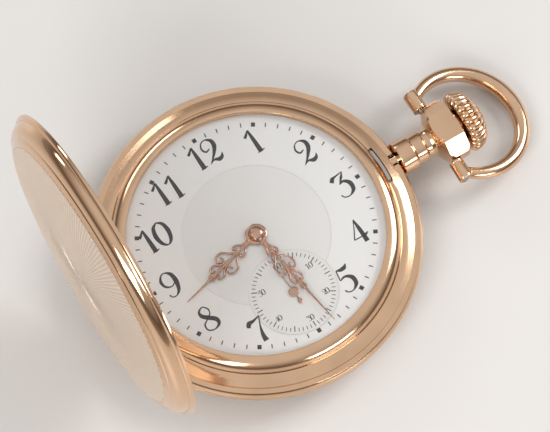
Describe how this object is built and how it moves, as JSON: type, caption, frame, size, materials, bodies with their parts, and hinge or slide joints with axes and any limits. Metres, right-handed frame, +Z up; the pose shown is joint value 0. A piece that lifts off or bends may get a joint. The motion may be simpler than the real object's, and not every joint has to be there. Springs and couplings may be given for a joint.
{
  "type": "pocket watch",
  "caption": "Hunter pocket watch: hinged front and back covers, pendant with swinging bow and winding crown, enamel dial with hands, and a geared movement.",
  "frame": {"origin": "middle of the back cover's flat spot, on which the watch lies", "axes": "+X towards the crown at 3 o'clock, +Y towards 12 o'clock, +Z up out of the dial"},
  "size_m": [0.0812, 0.0528, 0.0587],
  "materials": {
    "case_gold": "polished rose gold",
    "hinge_gold": "drawn gold",
    "spring_steel": "ground steel",
    "blued_steel": "blued steel",
    "hand_gold": "polished rose gold",
    "enamel": "fired enamel",
    "crystal_glass": "clear",
    "ruby": "ruby",
    "plate_nickel": "nickelled and striped",
    "wheel_brass": "gilt"
  },
  "bodies": {
    "case": {"case_middle": "case_gold", "front_hinge_pin": "hinge_gold", "back_hinge_pin": "hinge_gold", "dust_hinge_pin": "hinge_gold", "bezel": "case_gold", "crystal": "crystal_glass", "lift_spring": "spring_steel", "pendant": "case_gold", "bow_screws": "spring_steel", "dial": "enamel", "main_plate": "plate_nickel", "barrel_bridge": "plate_nickel", "train_bridge": "plate_nickel", "balance_cock": "plate_nickel", "jewels": "ruby", "bridge_screws": "blued_steel", "case_screws": "blued_steel", "click": "spring_steel"},
    "front_lid": {"front_cover": "case_gold"},
    "back_lid": {"back_cover": "case_gold"},
    "dust_lid": {"dust_cover": "case_gold"},
    "bow": {"bow": "case_gold"},
    "push": {"push_sleeve": "case_gold"},
    "crown": {"crown": "case_gold", "stem": "spring_steel", "clutch_wheel": "spring_steel"},
    "winding_pinion": {"winding_pinion": "spring_steel"},
    "crown_wheel": {"crown_wheel": "spring_steel"},
    "ratchet": {"ratchet_wheel": "spring_steel", "barrel_arbor": "spring_steel"},
    "catch": {"lock_spring": "spring_steel"},
    "centre": {"centre_wheel": "wheel_brass", "cannon_pinion": "spring_steel", "minute_hand": "hand_gold"},
    "hour": {"hour_wheel": "wheel_brass", "hour_hand": "hand_gold"},
    "minute_wheel": {"minute_wheel": "wheel_brass"},
    "barrel": {"barrel_drum": "wheel_brass", "barrel_cover": "wheel_brass", "mainspring": "spring_steel"},
    "third": {"third_wheel": "wheel_brass"},
    "fourth": {"fourth_wheel": "wheel_brass", "seconds_hand": "hand_gold"},
    "escape": {"escape_wheel": "spring_steel"},
    "fork": {"pallet_fork": "spring_steel"},
    "balance": {"balance_wheel": "wheel_brass", "balance_staff": "spring_steel", "hairspring": "spring_steel"}
  },
  "joints": [
    {"name": "front_cover_hinge", "type": "hinge", "parent": "case", "child": "front_lid", "pos_m": [-0.026, 0, 0.0065], "axis": [0, 1, 0], "range_deg": [0, 90]},
    {"name": "back_cover_hinge", "type": "hinge", "parent": "case", "child": "back_lid", "pos_m": [-0.026, 0, 0.0054], "axis": [0, 1, 0], "range_deg": [0, 100]},
    {"name": "dust_cover_hinge", "type": "hinge", "parent": "case", "child": "dust_lid", "pos_m": [-0.0229, 0, 0.00355], "axis": [0, 1, 0], "range_deg": [0, 80]},
    {"name": "bow_swing", "type": "hinge", "parent": "case", "child": "bow", "pos_m": [0.0341, 0, 0.00595], "axis": [0, -1, 0], "range_deg": [-79, 114]},
    {"name": "crown_push", "type": "slide", "parent": "case", "child": "push", "axis": [1, 0, 0], "range_m": [-0.0005, 0.001], "stiffness_N_per_m": 300},
    {"name": "crown_turn", "type": "hinge", "parent": "push", "child": "crown", "pos_m": [0.036, 0, 0.00595], "axis": [1, 0, 0], "continuous": true},
    {"name": "winding_pinion_turn", "type": "hinge", "parent": "case", "child": "winding_pinion", "pos_m": [0.014, 0, 0.00595], "axis": [1, 0, 0], "continuous": true},
    {"name": "crown_wheel_turn", "type": "hinge", "parent": "case", "child": "crown_wheel", "pos_m": [0.01058, 0, 0.0036], "axis": [0, 0, 1], "continuous": true},
    {"name": "ratchet_turn", "type": "hinge", "parent": "case", "child": "ratchet", "pos_m": [0.00579, 0.00689, 0.0036], "axis": [0, 0, 1], "continuous": true},
    {"name": "catch_draw", "type": "slide", "parent": "case", "child": "catch", "axis": [1, 0, 0], "range_m": [-0.0005, 0], "stiffness_N_per_m": 200},
    {"name": "centre_turn", "type": "hinge", "parent": "case", "child": "centre", "pos_m": [0, 0, 0.006], "axis": [0, 0, 1], "continuous": true},
    {"name": "hour_turn", "type": "hinge", "parent": "case", "child": "hour", "pos_m": [0, 0, 0.008], "axis": [0, 0, 1], "continuous": true},
    {"name": "minute_wheel_turn", "type": "hinge", "parent": "case", "child": "minute_wheel", "pos_m": [-0.00276, 0.00231, 0.0073], "axis": [0, 0, 1], "continuous": true},
    {"name": "barrel_turn", "type": "hinge", "parent": "case", "child": "barrel", "pos_m": [0.00579, 0.00689, 0.005], "axis": [0, 0, 1], "continuous": true},
    {"name": "third_turn", "type": "hinge", "parent": "case", "child": "third", "pos_m": [0.00242, -0.00582, 0.0053], "axis": [0, 0, 1], "continuous": true},
    {"name": "fourth_turn", "type": "hinge", "parent": "case", "child": "fourth", "pos_m": [0, -0.01125, 0.0057], "axis": [0, 0, 1], "continuous": true},
    {"name": "escape_turn", "type": "hinge", "parent": "case", "child": "escape", "pos_m": [-0.0047, -0.00954, 0.005], "axis": [0, 0, 1], "continuous": true},
    {"name": "balance_swing", "type": "hinge", "parent": "case", "child": "balance", "pos_m": [-0.0115, -0.004, 0.0043], "axis": [0, 0, 1], "range_deg": [-20, 20]},
    {"name": "fork_rock", "type": "hinge", "parent": "case", "child": "fork", "pos_m": [-0.00804, -0.00682, 0.005], "axis": [0, 0, 1], "range_deg": [-6, 6]}
  ],
  "couplings": [
    {"joint": "dust_cover_hinge", "follows": "back_cover_hinge", "ratio": 0.8},
    {"joint": "winding_pinion_turn", "follows": "crown_turn", "ratio": 1},
    {"joint": "crown_wheel_turn", "follows": "crown_turn", "ratio": 0.38889},
    {"joint": "ratchet_turn", "follows": "crown_turn", "ratio": -0.29167},
    {"joint": "hour_turn", "follows": "centre_turn", "ratio": 0.083333},
    {"joint": "minute_wheel_turn", "follows": "centre_turn", "ratio": -0.33333},
    {"joint": "barrel_turn", "follows": "centre_turn", "ratio": -0.125},
    {"joint": "third_turn", "follows": "centre_turn", "ratio": -8},
    {"joint": "fourth_turn", "follows": "centre_turn", "ratio": 60},
    {"joint": "escape_turn", "follows": "centre_turn", "ratio": -600},
    {"joint": "fork_rock", "follows": "balance_swing", "ratio": -0.25}
  ]
}
